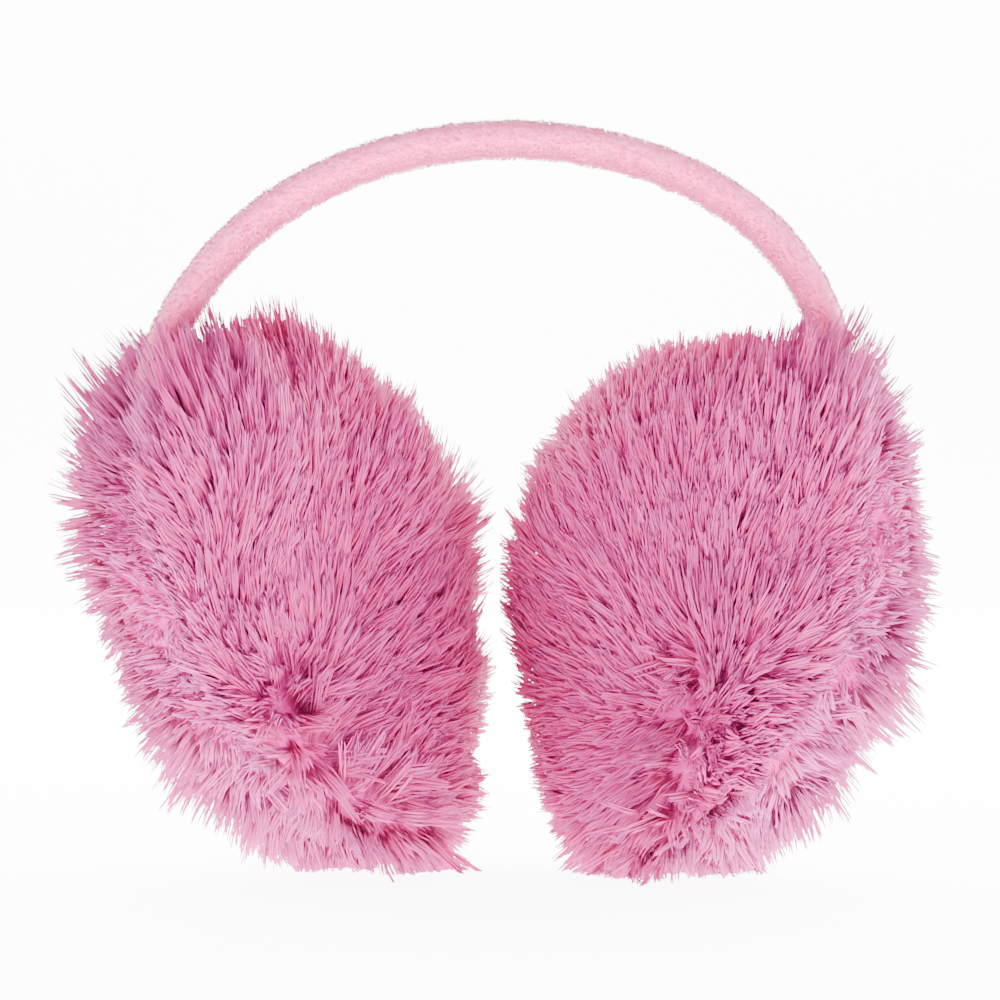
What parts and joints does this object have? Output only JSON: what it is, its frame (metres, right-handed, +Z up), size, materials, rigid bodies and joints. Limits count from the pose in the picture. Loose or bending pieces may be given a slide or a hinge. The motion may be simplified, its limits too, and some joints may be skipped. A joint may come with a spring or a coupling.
{
  "type": "fur earmuffs",
  "caption": "Long-pile fur earmuffs standing on their cups: a padded plush headband runs into thick oval fur ear cups, each of an inner and an outer half sewn round a seam.",
  "frame": {"origin": "on the floor under the middle of the bounding box", "axes": "+X to the right as seen from the front, across the head; +Y from front to back; +Z up. The ear cups toe out, so their ear sides turn towards the front."},
  "size_m": [0.1706, 0.095, 0.1495],
  "materials": {
    "plush": "short-pile plush, matt with a soft sheen",
    "fur": "long-pile fake fur, combed, pale at the tips and deep pink at the roots"
  },
  "bodies": {
    "root": {"headband": "plush", "left_inner_fur": "fur", "left_outer_fur": "fur", "right_inner_fur": "fur", "right_outer_fur": "fur"}
  },
  "joints": []
}
